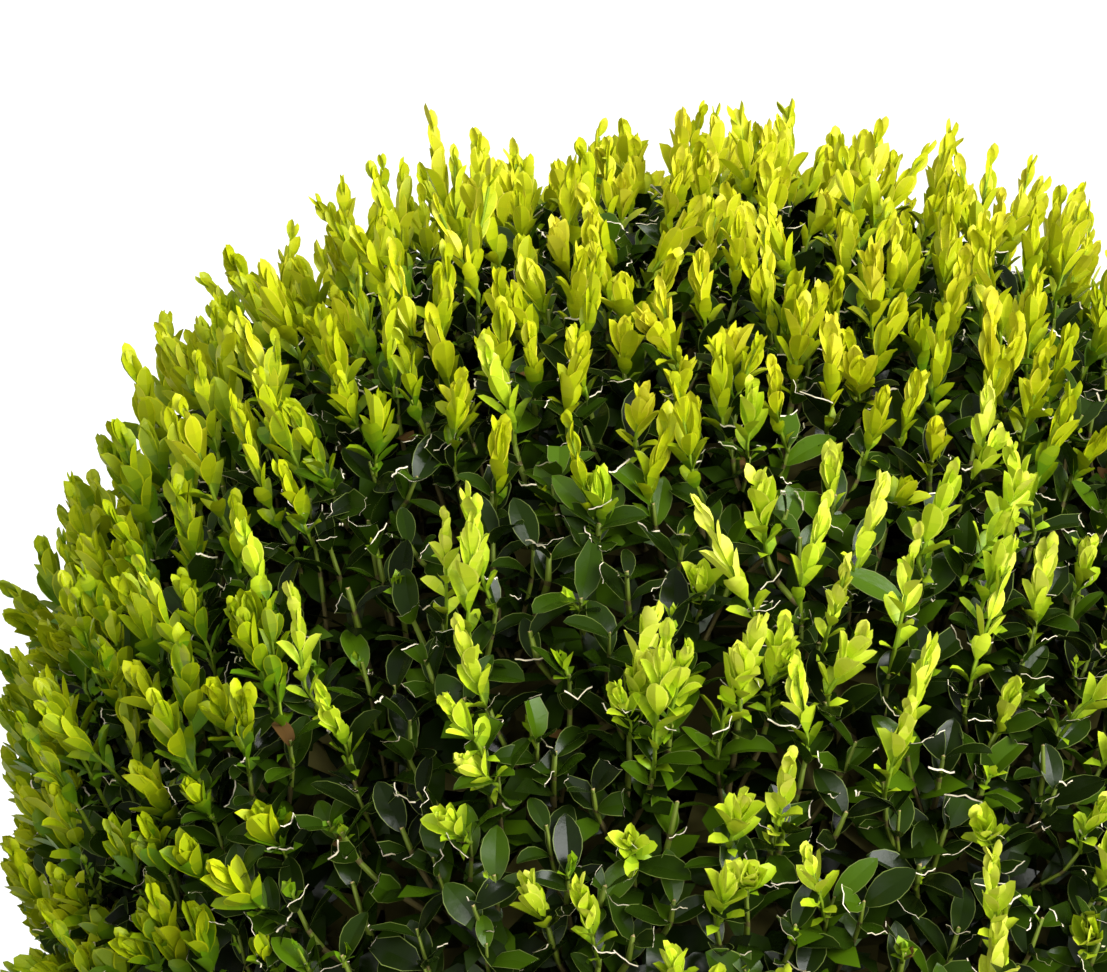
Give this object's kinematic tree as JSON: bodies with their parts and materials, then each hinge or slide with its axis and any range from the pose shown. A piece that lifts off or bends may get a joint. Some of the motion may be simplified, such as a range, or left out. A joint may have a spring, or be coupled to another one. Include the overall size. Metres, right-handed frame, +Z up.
{
  "type": "box topiary ball",
  "caption": "Clipped evergreen box shrub grown as a dense leafy ball on a short hidden stem, rooted in the ground.",
  "frame": {"origin": "centre of the flat cut under the trunk, at ground level", "axes": "+Z up along the trunk, -Y towards the side the camera sees, +X to its right"},
  "size_m": [0.5206, 0.528, 0.4912],
  "materials": {
    "young_foliage": "bright yellow-green new box leaves with a soft gloss",
    "old_foliage": "dark green leathery box leaves with a waxy gloss",
    "bark": "dull grey-brown corky bark"
  },
  "bodies": {
    "root": {"trunk": "bark", "bough_top": "bark", "foliage_top": "young_foliage", "bough_upper_1": "bark", "foliage_upper_1": "young_foliage", "bough_upper_2": "bark", "foliage_upper_2": "young_foliage", "bough_upper_3": "bark", "foliage_upper_3": "young_foliage", "bough_upper_4": "bark", "foliage_upper_4": "young_foliage", "bough_upper_5": "bark", "foliage_upper_5": "young_foliage", "bough_lower_1": "bark", "foliage_lower_1": "old_foliage", "bough_lower_2": "bark", "foliage_lower_2": "old_foliage", "bough_lower_3": "bark", "foliage_lower_3": "old_foliage", "bough_lower_4": "bark", "foliage_lower_4": "old_foliage", "bough_lower_5": "bark", "foliage_lower_5": "old_foliage"}
  },
  "joints": []
}
